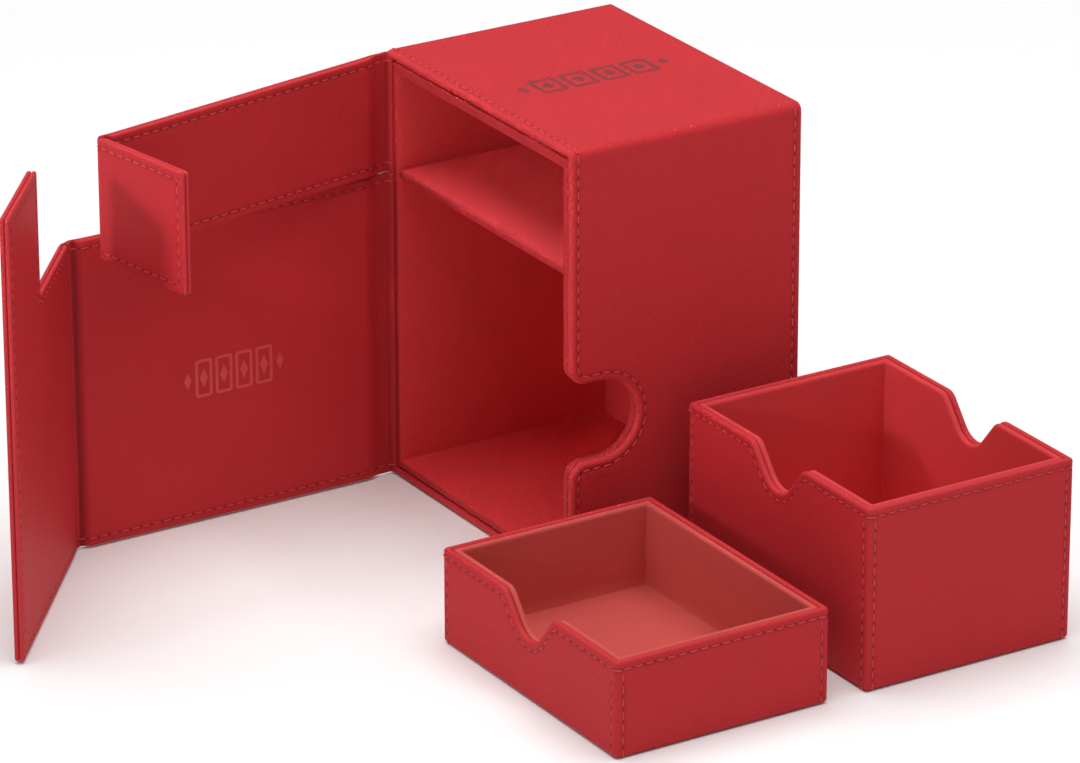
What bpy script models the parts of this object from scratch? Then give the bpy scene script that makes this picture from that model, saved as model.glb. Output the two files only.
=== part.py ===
"""Card deck box: a lined body with a shelf, two hinged lids with folding flaps, and two loose trays.

Every board of the box is covered with leatherette outside and lined with microfibre inside.
Units are metres. The origin is the middle of the box body's underside, +Z is up, the open front
faces -Y and the lids hinge on the left front edge (-X).
"""
import bpy
import bmesh
from math import acos, atan2, cos, hypot, pi, radians, sin
from mathutils import Matrix, Vector

# Body
BODY_WIDTH = 0.1130
BODY_DEPTH = 0.0858
BODY_HEIGHT = 0.1480
SHELL_BOARD = 0.0020
LINER_BOARD = 0.0025
LINER_SETBACK = 0.0010
SHELF_TOP = 0.1082
SHELF_THICKNESS = 0.0033

# Thumb notch in the right wall, open to the front
NOTCH_HEIGHT = 0.0561
NOTCH_REACH = 0.0117
NOTCH_RADIUS = 0.0133
NOTCH_SHOULDER = 0.0058

# Sheet goods
SKIN = 0.0006
GAP = 0.0003

# Lids
LID_BOARD = 0.0013
LID_SETBACK = 0.0009
LID_GROUND_GAP = 0.0006
LOWER_LID_TOP = 0.1061
UPPER_LID_BOTTOM = 0.1070
UPPER_FLAP_LENGTH = 0.0437
LOWER_FLAP_LENGTH = 0.0885
TAB_START = 0.0456
LID_CORNER = 0.0012
UPPER_LID_TURN = 10.4
UPPER_FLAP_FOLD = 90.0
LOWER_LID_TURN = 0.0
LOWER_FLAP_FOLD = 51.0

# Magnets that hold the flaps on the right wall
MAGNET_RADIUS = 0.0050
UPPER_MAGNET_REACH = 0.0330
LOWER_MAGNET_REACH = 0.0720
LOWER_MAGNET_HEIGHTS = (0.0300, 0.1200)

# Trays
TRAY_WIDTH = 0.1009
TRAY_DEPTH = 0.0767
TRAY_BOARD = 0.0026
TRAY_FLOOR_BOARD = 0.0020
TRAY_NOTCH_HALF_WIDTH = 0.0164
TRAY_NOTCH_DEPTH = 0.0122
TRAY_NOTCH_SHOULDER = 0.0050
TRAY_NOTCH_BOTTOM = 0.0085
ACCESSORY_TRAY_HEIGHT = 0.0320
CARD_TRAY_HEIGHT = 0.0610
ACCESSORY_TRAY_CORNER = (0.1242, -0.0541)
CARD_TRAY_CORNER = (0.1245, 0.0361)

ARC_STEP = radians(15)
CUTTER_REACH = 0.0050

LEFT = -BODY_WIDTH / 2
RIGHT = BODY_WIDTH / 2
FRONT = -BODY_DEPTH / 2
BACK = BODY_DEPTH / 2
LAYER = SKIN + GAP
SHELL = LAYER + SHELL_BOARD
LINER_OUTSIDE = SHELL + GAP
LINER_INSIDE = LINER_OUTSIDE + LINER_BOARD
LINER_SPACE = LINER_INSIDE + GAP
LID_THICKNESS = 2 * LAYER + LID_BOARD
CREASE = LID_THICKNESS + GAP
LID_TOP = BODY_HEIGHT - LID_GROUND_GAP


def clear_scene():
    for old in list(bpy.data.objects):
        bpy.data.objects.remove(old, do_unlink=True)
    for old_mesh in list(bpy.data.meshes):
        bpy.data.meshes.remove(old_mesh)


def make_material(name, colour, roughness, metallic=0.0):
    material = bpy.data.materials.new(name)
    material.use_nodes = True
    shader = material.node_tree.nodes["Principled BSDF"]
    shader.inputs["Base Color"].default_value = (*colour, 1.0)
    shader.inputs["Roughness"].default_value = roughness
    shader.inputs["Metallic"].default_value = metallic
    material.diffuse_color = (*colour, 1.0)
    return material


def add_object(name, mesh, material, parent=None):
    item = bpy.data.objects.new(name, mesh)
    bpy.context.scene.collection.objects.link(item)
    if material:
        mesh.materials.append(material)
    item.parent = parent
    return item


def mesh_from(bm, name):
    bmesh.ops.recalc_face_normals(bm, faces=bm.faces)
    mesh = bpy.data.meshes.new(name)
    bm.to_mesh(mesh)
    bm.free()
    return mesh


def slab(name, low, high, material, parent=None):
    """A flat rectangular piece between two opposite corners, with its origin at its middle."""
    low, high = Vector(low), Vector(high)
    bm = bmesh.new()
    bmesh.ops.create_cube(bm, size=1.0, matrix=Matrix.Diagonal((*(high - low), 1.0)))
    item = add_object(name, mesh_from(bm, name), material, parent)
    item.location = (low + high) / 2
    return item


def arc(centre, radius, start, end):
    """Points of an arc in steps of ARC_STEP or less; angles in radians."""
    count = max(2, round(abs(end - start) / ARC_STEP))
    angles = [start + (end - start) * i / count for i in range(count + 1)]
    return [(centre[0] + radius * cos(a), centre[1] + radius * sin(a)) for a in angles]


def prism(name, outline, along, start, end, material, parent=None):
    """Extrude an outline: along X it lies in (Y, Z), along Y it lies in (X, Z)."""
    bm = bmesh.new()
    if along == "X":
        corners = [bm.verts.new((start, a, b)) for a, b in outline]
        travel = Vector((end - start, 0, 0))
    else:
        corners = [bm.verts.new((a, start, b)) for a, b in outline]
        travel = Vector((0, end - start, 0))
    face = bm.faces.new(corners)
    extruded = bmesh.ops.extrude_face_region(bm, geom=[face])["geom"]
    moved = [part for part in extruded if isinstance(part, bmesh.types.BMVert)]
    bmesh.ops.translate(bm, verts=moved, vec=travel)
    return add_object(name, mesh_from(bm, name), material, parent)


def disc(name, centre, radius, thickness, material, parent=None):
    """A round piece whose axis lies along X."""
    bm = bmesh.new()
    bmesh.ops.create_cone(bm, cap_ends=True, segments=24, radius1=radius, radius2=radius,
                          depth=thickness, matrix=Matrix.Rotation(pi / 2, 4, "Y"))
    mesh = mesh_from(bm, name)
    mesh.shade_smooth()
    mesh.set_sharp_from_angle(angle=radians(40))
    item = add_object(name, mesh, material, parent)
    item.location = centre
    return item


def as_cutter(item):
    item.hide_render = True
    item.display_type = "WIRE"
    return item


def cut(item, *cutters):
    for cutter in cutters:
        modifier = item.modifiers.new("cut_" + cutter.name, "BOOLEAN")
        modifier.operation = "DIFFERENCE"
        modifier.solver = "EXACT"
        modifier.object = cutter


def axis_empty(name, location, turn, parent=None):
    """The upright hinge line that a lid or a flap turns about."""
    empty = bpy.data.objects.new(name, None)
    bpy.context.scene.collection.objects.link(empty)
    empty.parent = parent
    empty.location = location
    empty.rotation_euler = (0, 0, radians(turn))
    return empty


def thumb_notch_outline():
    """Half-round bay in (Y, Z) with rounded shoulders, open past the front edge."""
    mouth = FRONT - CUTTER_REACH
    shoulder = FRONT + NOTCH_SHOULDER
    rise = NOTCH_RADIUS + NOTCH_SHOULDER
    top = (shoulder, NOTCH_HEIGHT + rise)
    bottom = (shoulder, NOTCH_HEIGHT - rise)
    bay = (FRONT + NOTCH_REACH, NOTCH_HEIGHT)
    points = [(mouth, top[1])]
    points += arc(top, NOTCH_SHOULDER, pi, 1.5 * pi)
    points += arc(bay, NOTCH_RADIUS, pi / 2, -pi / 2)
    points += arc(bottom, NOTCH_SHOULDER, pi / 2, pi)
    points += [(mouth, bottom[1])]
    return points


def tray_notch_outline(middle, rim):
    """Rounded U in (X, Z) whose flanks are the tangents between its shoulders and its bottom."""
    left = (middle - TRAY_NOTCH_HALF_WIDTH, rim - TRAY_NOTCH_SHOULDER)
    right = (middle + TRAY_NOTCH_HALF_WIDTH, rim - TRAY_NOTCH_SHOULDER)
    bottom = (middle, rim - TRAY_NOTCH_DEPTH + TRAY_NOTCH_BOTTOM)
    across, up = bottom[0] - left[0], bottom[1] - left[1]
    reach = (TRAY_NOTCH_SHOULDER + TRAY_NOTCH_BOTTOM) / hypot(across, up)
    flank = atan2(up, across) + acos(reach)
    points = [(left[0], rim + CUTTER_REACH)]
    points += arc(left, TRAY_NOTCH_SHOULDER, pi / 2, flank)
    points += arc(bottom, TRAY_NOTCH_BOTTOM, pi + flank, 2 * pi - flank)
    points += arc(right, TRAY_NOTCH_SHOULDER, pi - flank, pi / 2)
    points += [(right[0], rim + CUTTER_REACH)]
    return points


def build_shell(leatherette, board, notch):
    """Five boards under five leatherette faces; the right wall has the thumb notch."""
    top_cover = BODY_HEIGHT - SKIN
    covers = {
        "shell_cover_left": ((LEFT, FRONT, 0), (LEFT + SKIN, BACK, BODY_HEIGHT)),
        "shell_cover_right": ((RIGHT - SKIN, FRONT, 0), (RIGHT, BACK, BODY_HEIGHT)),
        "shell_cover_bottom": ((LEFT + LAYER, FRONT, 0), (RIGHT - LAYER, BACK, SKIN)),
        "shell_cover_top": ((LEFT + LAYER, FRONT, top_cover), (RIGHT - LAYER, BACK, BODY_HEIGHT)),
        "shell_cover_back": ((LEFT + LAYER, BACK - SKIN, LAYER), (RIGHT - LAYER, BACK, top_cover - GAP)),
    }
    front, back = FRONT + SKIN, BACK - LAYER
    low, high = LAYER, BODY_HEIGHT - LAYER
    inner = SHELL + GAP
    boards = {
        "shell_board_left": ((LEFT + LAYER, front, low), (LEFT + SHELL, back, high)),
        "shell_board_right": ((RIGHT - SHELL, front, low), (RIGHT - LAYER, back, high)),
        "shell_board_bottom": ((LEFT + inner, front, low), (RIGHT - inner, back, SHELL)),
        "shell_board_top": ((LEFT + inner, front, BODY_HEIGHT - SHELL), (RIGHT - inner, back, high)),
        "shell_board_back": ((LEFT + inner, BACK - SHELL, inner),
                             (RIGHT - inner, back, BODY_HEIGHT - inner)),
    }
    pieces = {name: slab(name, *corners, leatherette) for name, corners in covers.items()}
    pieces.update({name: slab(name, *corners, board) for name, corners in boards.items()})
    cut(pieces["shell_cover_right"], notch)
    cut(pieces["shell_board_right"], notch)
    return pieces


def build_liner(lining, notch):
    """The lined inner case, and the shelf that parts it into two compartments."""
    front, back = FRONT + LINER_SETBACK, BACK - LINER_OUTSIDE
    low, high = LINER_OUTSIDE, BODY_HEIGHT - LINER_OUTSIDE
    left, right = LEFT + LINER_SPACE, RIGHT - LINER_SPACE
    slab("liner_left", (LEFT + LINER_OUTSIDE, front, low), (LEFT + LINER_INSIDE, back, high), lining)
    wall = slab("liner_right", (RIGHT - LINER_INSIDE, front, low),
                (RIGHT - LINER_OUTSIDE, back, high), lining)
    cut(wall, notch)
    slab("liner_floor", (left, front, low), (right, back, LINER_INSIDE), lining)
    slab("liner_ceiling", (left, front, BODY_HEIGHT - LINER_INSIDE), (right, back, high), lining)
    slab("liner_back", (left, BACK - LINER_INSIDE, LINER_SPACE),
         (right, back, BODY_HEIGHT - LINER_SPACE), lining)
    slab("shelf", (left, front, SHELF_TOP - SHELF_THICKNESS),
         (right, BACK - LINER_SPACE, SHELF_TOP), lining)


def build_wall_magnets(shell, steel):
    """Round magnets let into the right-hand board, one facing each magnet of the closed flaps."""
    middle = RIGHT - LAYER - SHELL_BOARD / 2
    upper_height = (UPPER_LID_BOTTOM + LID_TOP) / 2
    places = [("wall_magnet_upper", UPPER_MAGNET_REACH, upper_height)]
    for label, height in zip(("low", "high"), LOWER_MAGNET_HEIGHTS):
        places.append(("wall_magnet_lower_" + label, LOWER_MAGNET_REACH, height))
    for name, reach, height in places:
        centre = (middle, FRONT - CREASE + reach, height)
        disc(name, centre, MAGNET_RADIUS, SHELL_BOARD, steel)
        seat = disc("seat_" + name, centre, MAGNET_RADIUS + GAP, 2 * SHELL_BOARD, None)
        cut(shell["shell_board_right"], as_cutter(seat))


def rounded_outline(corners, radius):
    """Close an outline of square corners, rounding the ones that stick out."""
    points = []
    count = len(corners)
    for i, corner in enumerate(corners):
        before = (Vector(corners[i - 1]) - Vector(corner)).normalized()
        after = (Vector(corners[(i + 1) % count]) - Vector(corner)).normalized()
        if before.cross(after) > 0:
            points.append(corner)
            continue
        centre = Vector(corner) + radius * (before + after)
        start = centre - radius * after
        turn = atan2(start.y - centre.y, start.x - centre.x)
        points += arc(centre, radius, turn, turn + pi / 2)
    return points


def panel_corners(reach, bottom, top, inset):
    """A rectangle in (-reach, height), counter-clockwise."""
    near, far = -LID_SETBACK - inset, -reach + inset
    return [(far, bottom + inset), (near, bottom + inset), (near, top - inset), (far, top - inset)]


def tabbed_corners(inset):
    """The lower flap: a low part next to its hinge and a tab up to the height of the box."""
    near, far, step = -LID_SETBACK - inset, -LOWER_FLAP_LENGTH + inset, -TAB_START - inset
    low, mid, high = LID_GROUND_GAP + inset, LOWER_LID_TOP - inset, LID_TOP - inset
    return [(far, low), (near, low), (near, mid), (step, mid), (step, high), (far, high)]


def build_panel(prefix, corners_at, axis, materials, magnets=()):
    """Cover, board and lining of one lid panel or flap, standing outwards from its hinge line."""
    leatherette, board, lining, steel = materials
    layers = (("cover", 0.0, SKIN, 0.0, leatherette),
              ("board", LAYER, LAYER + LID_BOARD, SKIN, board),
              ("lining", LID_THICKNESS - SKIN, LID_THICKNESS, 0.0, lining))
    made = {}
    for label, start, end, inset, material in layers:
        outline = rounded_outline(corners_at(inset), LID_CORNER)
        name = prefix + "_" + label
        made[label] = prism(name, outline, "X", start, end, material, axis)
    for label, reach, height in magnets:
        centre = (LAYER + LID_BOARD / 2, -reach, height)
        disc(prefix + "_magnet" + label, centre, MAGNET_RADIUS, LID_BOARD, steel, axis)
        seat = disc(prefix + "_seat" + label, centre, MAGNET_RADIUS + GAP, 2 * LID_BOARD, None, axis)
        cut(made["board"], as_cutter(seat))


def build_lid(prefix, turn, fold, bottom, top, flap_corners, flap_magnets, materials):
    """One lid: hinge strip on the body, panel, strip at the fold, and the folding flap."""
    leatherette = materials[0]
    body_axis = axis_empty(prefix + "_lid_axis", (LEFT, FRONT - CREASE, 0), turn)
    slab(prefix + "_lid_hinge_strip", (LEFT, FRONT - CREASE + LID_SETBACK, bottom),
         (LEFT + SKIN, FRONT - GAP, top), leatherette)

    def lid_corners(inset):
        return panel_corners(BODY_WIDTH, bottom, top, inset)

    build_panel(prefix + "_lid", lid_corners, body_axis, materials)
    fold_line = BODY_WIDTH + CREASE
    slab(prefix + "_flap_hinge_strip", (0, -fold_line + LID_SETBACK, bottom),
         (SKIN, -BODY_WIDTH - GAP, top), leatherette, body_axis)
    flap_axis = axis_empty(prefix + "_flap_axis", (0, -fold_line, 0), fold, body_axis)
    build_panel(prefix + "_flap", flap_corners, flap_axis, materials, flap_magnets)


def upper_flap_corners(inset):
    return panel_corners(UPPER_FLAP_LENGTH, UPPER_LID_BOTTOM, LID_TOP, inset)


def build_tray(prefix, corner, height, notched_sides, materials):
    """A leatherette-wrapped board tray with a microfibre lining and thumb notches."""
    leatherette, board, lining = materials[:3]
    left, front = LEFT + corner[0], FRONT + corner[1]
    right, back = left + TRAY_WIDTH, front + TRAY_DEPTH
    wall = LAYER + TRAY_BOARD
    inner = wall + GAP
    room = inner + SKIN
    board_top = height - SKIN
    lining_top = height - GAP
    lining_floor = LAYER + TRAY_FLOOR_BOARD + GAP
    outline = tray_notch_outline((left + right) / 2, height)
    notches = {}
    for side, face in (("front", front), ("back", back)):
        if side in notched_sides:
            notch = prism(prefix + "_notch_" + side, outline, "Y",
                          face - CUTTER_REACH, face + CUTTER_REACH, None)
            notches[side] = as_cutter(notch)

    slab(prefix + "_base_cover", (left, front, 0), (right, back, SKIN), leatherette)
    wrap = slab(prefix + "_wrap", (left, front, LAYER), (right, back, height), leatherette)
    hollow = slab(prefix + "_wrap_hollow", (left + SKIN, front + SKIN, 0),
                  (right - SKIN, back - SKIN, height + CUTTER_REACH), None)
    cut(wrap, as_cutter(hollow), *notches.values())

    for side, start in (("front", front + LAYER), ("back", back - wall)):
        item = slab("%s_%s_board" % (prefix, side), (left + LAYER, start, LAYER),
                    (right - LAYER, start + TRAY_BOARD, board_top), board)
        if side in notches:
            cut(item, notches[side])
    for side, start in (("left", left + LAYER), ("right", right - wall)):
        slab("%s_%s_board" % (prefix, side), (start, front + inner, LAYER),
             (start + TRAY_BOARD, back - inner, board_top), board)
    slab(prefix + "_floor_board", (left + inner, front + inner, LAYER),
         (right - inner, back - inner, LAYER + TRAY_FLOOR_BOARD), board)

    inside = slab(prefix + "_lining", (left + inner, front + inner, lining_floor),
                  (right - inner, back - inner, lining_top), lining)
    space = slab(prefix + "_lining_hollow", (left + room, front + room, lining_floor + SKIN),
                 (right - room, back - room, height + CUTTER_REACH), None)
    cut(inside, as_cutter(space), *notches.values())


def main():
    clear_scene()
    materials = (
        make_material("leatherette", (0.40, 0.020, 0.026), 0.48),
        make_material("board", (0.34, 0.28, 0.21), 0.90),
        make_material("lining", (0.36, 0.022, 0.028), 0.75),
        make_material("magnet", (0.55, 0.55, 0.56), 0.30, 1.0),
    )
    leatherette, board, lining, steel = materials
    notch = as_cutter(prism("thumb_notch", thumb_notch_outline(), "X",
                            RIGHT - LINER_SPACE, RIGHT + CUTTER_REACH, None))
    shell = build_shell(leatherette, board, notch)
    build_liner(lining, notch)
    build_wall_magnets(shell, steel)
    upper_height = (UPPER_LID_BOTTOM + LID_TOP) / 2
    build_lid("upper", UPPER_LID_TURN, UPPER_FLAP_FOLD, UPPER_LID_BOTTOM, LID_TOP,
              upper_flap_corners, [("", UPPER_MAGNET_REACH, upper_height)], materials)
    lower_magnets = [("_" + label, LOWER_MAGNET_REACH, height)
                     for label, height in zip(("low", "high"), LOWER_MAGNET_HEIGHTS)]
    build_lid("lower", LOWER_LID_TURN, LOWER_FLAP_FOLD, LID_GROUND_GAP, LOWER_LID_TOP,
              tabbed_corners, lower_magnets, materials)
    build_tray("accessory_tray", ACCESSORY_TRAY_CORNER, ACCESSORY_TRAY_HEIGHT,
               ("front",), materials)
    build_tray("card_tray", CARD_TRAY_CORNER, CARD_TRAY_HEIGHT, ("front", "back"), materials)


main()
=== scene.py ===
# %% [markdown]
# # A card deck box in leatherette
# The box has a wrapped body with a lined case inside, two lids that fold round its front, and two
# loose trays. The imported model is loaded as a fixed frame, and every piece below is built around it.

# %% Load the frame
from math import acos, atan2, ceil, cos, pi, radians, sin, tan

import bmesh
import bpy
import numpy as np
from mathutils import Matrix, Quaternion, Vector
from mathutils.kdtree import KDTree


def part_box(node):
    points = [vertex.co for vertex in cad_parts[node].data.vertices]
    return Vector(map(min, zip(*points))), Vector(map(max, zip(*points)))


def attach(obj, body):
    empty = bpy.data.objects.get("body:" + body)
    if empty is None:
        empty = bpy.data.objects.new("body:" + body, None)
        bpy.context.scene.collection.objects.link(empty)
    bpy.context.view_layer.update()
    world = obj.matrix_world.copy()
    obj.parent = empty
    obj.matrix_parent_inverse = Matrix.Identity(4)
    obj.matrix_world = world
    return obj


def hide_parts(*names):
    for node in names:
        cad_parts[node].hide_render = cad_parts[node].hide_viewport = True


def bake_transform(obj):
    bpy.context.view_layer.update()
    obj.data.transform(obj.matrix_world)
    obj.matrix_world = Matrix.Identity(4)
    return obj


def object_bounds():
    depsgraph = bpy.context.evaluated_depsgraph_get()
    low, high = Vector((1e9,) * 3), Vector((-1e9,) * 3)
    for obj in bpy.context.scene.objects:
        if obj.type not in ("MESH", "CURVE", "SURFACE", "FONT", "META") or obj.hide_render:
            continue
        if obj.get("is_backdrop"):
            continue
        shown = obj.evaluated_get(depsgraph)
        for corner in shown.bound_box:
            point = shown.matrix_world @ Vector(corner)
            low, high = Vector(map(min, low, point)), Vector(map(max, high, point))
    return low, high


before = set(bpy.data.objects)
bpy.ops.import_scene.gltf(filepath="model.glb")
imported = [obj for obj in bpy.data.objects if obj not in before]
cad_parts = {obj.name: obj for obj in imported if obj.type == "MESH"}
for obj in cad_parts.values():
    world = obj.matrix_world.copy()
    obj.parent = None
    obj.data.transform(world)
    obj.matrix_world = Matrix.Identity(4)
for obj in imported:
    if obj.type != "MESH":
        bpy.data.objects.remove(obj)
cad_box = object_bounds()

MM = 0.001
print("frame size, mm:", [round(v / MM, 1) for v in cad_box[1] - cad_box[0]])

# %% [markdown]
# The camera looks down on the open side of the box from the front right, through a long lens that
# keeps the edges almost parallel.

# %% Camera
CAMERA_PLACE = (1.66959, -1.04743, 0.85652)
CAMERA_AZIMUTH = radians(58.42)
CAMERA_ELEVATION = radians(22.55)
CAMERA_ROLL = radians(-0.13)

camera = bpy.data.objects.new("camera", bpy.data.cameras.new("camera"))
bpy.context.scene.collection.objects.link(camera)
bpy.context.scene.camera = camera
camera.data.sensor_width = 36.0
camera.data.lens = 219.03
camera.data.shift_x = 0.0035
camera.data.shift_y = 0.0119
camera.data.clip_start = 0.05
camera.location = CAMERA_PLACE
towards_camera = Vector((
    sin(CAMERA_AZIMUTH) * cos(CAMERA_ELEVATION),
    -cos(CAMERA_AZIMUTH) * cos(CAMERA_ELEVATION),
    sin(CAMERA_ELEVATION),
))
camera.rotation_mode = "QUATERNION"
looking = (-towards_camera).to_track_quat("-Z", "Y")
camera.rotation_quaternion = looking @ Quaternion((0, 0, 1), CAMERA_ROLL)
print("camera looks along", [round(v, 3) for v in -towards_camera])

# %% [markdown]
# Node trees are long to write by hand, so four small helpers add a node, add a maths node, start a
# group with named inputs and outputs, and place a group in a tree.

# %% Node helpers
def add_node(tree, kind, inputs=None, **settings):
    node = tree.nodes.new(kind)
    for name, value in settings.items():
        setattr(node, name, value)
    for key, value in (inputs or {}).items():
        if isinstance(value, bpy.types.NodeSocket):
            tree.links.new(value, node.inputs[key])
        else:
            node.inputs[key].default_value = value
    return node


def maths(tree, operation, first, second=0.0, third=None):
    inputs = {0: first, 1: second}
    if third is not None:
        inputs[2] = third
    return add_node(tree, "ShaderNodeMath", inputs, operation=operation).outputs[0]


SOCKETS = {"Vector": "NodeSocketVector", "Color": "NodeSocketColor", "Float": "NodeSocketFloat",
           "Geometry": "NodeSocketGeometry", "Material": "NodeSocketMaterial"}


def new_group(name, kind, inputs, outputs):
    group = bpy.data.node_groups.new(name, kind)
    for label, socket, value in inputs:
        made = group.interface.new_socket(label, in_out="INPUT", socket_type=SOCKETS[socket])
        if value is not None:
            made.default_value = value
    for label, socket in outputs:
        group.interface.new_socket(label, in_out="OUTPUT", socket_type=SOCKETS[socket])
    entry = group.nodes.new("NodeGroupInput")
    leave = group.nodes.new("NodeGroupOutput")
    return group, entry, leave


def place_group(tree, group, inputs):
    node = tree.nodes.new("ShaderNodeGroup")
    node.node_tree = group
    for key, value in inputs.items():
        if isinstance(value, bpy.types.NodeSocket):
            tree.links.new(value, node.inputs[key])
        else:
            node.inputs[key].default_value = value
    return node


print("node helpers ready")

# %% [markdown]
# The outside sheet is embossed with a fine diagonal twill, one line to the millimetre. It could be
# modelled, but at this size a height pattern is enough: a sine across the diagonal, broken along its
# length so that each line reads as a row of short strands, and bent a little by noise.

# %% Twill emboss
twill, entry, leave = new_group(
    "twill_emboss", "ShaderNodeTree",
    [("Vector", "Vector", None), ("Pitch", "Float", 0.001), ("Bend", "Float", 0.25)],
    [("Height", "Float")])
along = add_node(twill, "ShaderNodeSeparateXYZ", {0: entry.outputs["Vector"]})
scale = maths(twill, "DIVIDE", 0.70711, entry.outputs["Pitch"])
wide = add_node(twill, "ShaderNodeTexNoise", {
    "Vector": entry.outputs["Vector"], "Scale": maths(twill, "MULTIPLY", scale, 0.22), "Detail": 2.0})
across = maths(twill, "MULTIPLY", maths(twill, "ADD", along.outputs[0], along.outputs[1]), scale)
across = maths(twill, "MULTIPLY_ADD", wide.outputs[0], entry.outputs["Bend"], across)
length = maths(twill, "MULTIPLY", maths(twill, "SUBTRACT", along.outputs[0], along.outputs[1]), scale)
row = maths(twill, "MULTIPLY", maths(twill, "FLOOR", across), 0.37)
strand = maths(twill, "MULTIPLY_ADD", length, 0.9, row)
strand = maths(twill, "SINE", maths(twill, "MULTIPLY", strand, 2 * pi))
ridge = maths(twill, "SINE", maths(twill, "MULTIPLY", across, 2 * pi))
ridge = maths(twill, "MULTIPLY_ADD", ridge, 0.5, 0.5)
broken = maths(twill, "MULTIPLY", ridge, maths(twill, "MULTIPLY_ADD", strand, 0.22, 0.78))
speck = add_node(twill, "ShaderNodeTexNoise", {
    "Vector": entry.outputs["Vector"], "Scale": maths(twill, "MULTIPLY", scale, 3.5), "Detail": 2.0})
height = maths(twill, "MULTIPLY_ADD", speck.outputs[0], 0.45, broken)
twill.links.new(height, leave.inputs["Height"])
print("group:", twill.name)

# %% [markdown]
# The inside of the lids is a smooth sheet with the pebbled grain of real leather. Cells give the
# pebbles, and a finer noise breaks them up so that no cell edge reads as a line.

# %% Pebble grain
pebble, entry, leave = new_group(
    "pebble_grain", "ShaderNodeTree",
    [("Vector", "Vector", None), ("Size", "Float", 0.0012)],
    [("Height", "Float")])
scale = maths(pebble, "DIVIDE", 1.0, entry.outputs["Size"])
shift = add_node(pebble, "ShaderNodeTexNoise", {
    "Vector": entry.outputs["Vector"], "Scale": maths(pebble, "MULTIPLY", scale, 0.8), "Detail": 2.0})
wander = add_node(pebble, "ShaderNodeVectorMath", {
    0: shift.outputs["Color"], 1: (0.0006, 0.0006, 0.0006), 2: entry.outputs["Vector"]},
    operation="MULTIPLY_ADD")
cells = add_node(pebble, "ShaderNodeTexVoronoi", {
    "Vector": wander.outputs[0], "Scale": scale, "Smoothness": 0.6}, feature="SMOOTH_F1")
fine = add_node(pebble, "ShaderNodeTexNoise", {
    "Vector": entry.outputs["Vector"], "Scale": maths(pebble, "MULTIPLY", scale, 3.0), "Detail": 3.0})
broken = maths(pebble, "MULTIPLY", fine.outputs[0], 0.5)
height = maths(pebble, "SUBTRACT", broken, cells.outputs["Distance"])
pebble.links.new(height, leave.inputs["Height"])
print("group:", pebble.name)

# %% [markdown]
# Leatherette is dyed evenly, but handling leaves slow changes of tone. The edges are rubbed: they go a little
# lighter and pinker. In the stitched channels and the creases the seam mask darkens the colour: this is
# painted shade.

# %% Tone, rubbed edges and painted seam shade
tone, entry, leave = new_group(
    "tone_and_wear", "ShaderNodeTree",
    [("Vector", "Vector", None), ("Color", "Color", (0.5, 0.5, 0.5, 1)), ("Drift", "Float", 0.06),
     ("Drift Size", "Float", 0.02), ("Rim", "Float", 0.0), ("Rub", "Float", 0.3),
     ("Rub Color", "Color", (0.8, 0.1, 0.1, 1)), ("Seam", "Float", 0.0), ("Seam Shade", "Float", 0.3)],
    [("Color", "Color"), ("Roughness", "Float")])
scale = maths(tone, "DIVIDE", 1.0, entry.outputs["Drift Size"])
slow = add_node(tone, "ShaderNodeTexNoise", {
    "Vector": entry.outputs["Vector"], "Scale": scale, "Detail": 3.0})
fleck = add_node(tone, "ShaderNodeTexNoise", {
    "Vector": entry.outputs["Vector"], "Scale": maths(tone, "MULTIPLY", scale, 30.0), "Detail": 2.0})
level = maths(tone, "SUBTRACT", slow.outputs[0], 0.5)
level = maths(tone, "MULTIPLY_ADD", level, entry.outputs["Drift"], 1.0)
rubbed = maths(tone, "MULTIPLY", entry.outputs["Rim"], entry.outputs["Rub"])
rubbed = maths(tone, "MULTIPLY", rubbed, maths(tone, "MULTIPLY_ADD", fleck.outputs[0], 0.8, 0.6))
worn = add_node(tone, "ShaderNodeMix", {
    "Factor": rubbed, 6: entry.outputs["Color"], 7: entry.outputs["Rub Color"]}, data_type="RGBA")
# painted shade: the seam mask darkens the colour in the stitch channels and creases
shade = maths(tone, "MULTIPLY", entry.outputs["Seam"], entry.outputs["Seam Shade"])
level = maths(tone, "MULTIPLY", level, maths(tone, "SUBTRACT", 1.0, shade))
final = add_node(tone, "ShaderNodeVectorMath", {0: worn.outputs[2], "Scale": level}, operation="SCALE")
tone.links.new(final.outputs[0], leave.inputs["Color"])
polish = maths(tone, "MULTIPLY_ADD", slow.outputs[0], 0.16, 0.92)
polish = maths(tone, "SUBTRACT", polish, maths(tone, "MULTIPLY", rubbed, 0.25))
tone.links.new(polish, leave.inputs["Roughness"])
print("group:", tone.name)

# %% [markdown]
# One function makes every sheet: it reads the flat layout kept in the piece's own UV map, sends it
# through the groups, and turns the height into a bump. Only the numbers differ between finishes.

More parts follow.
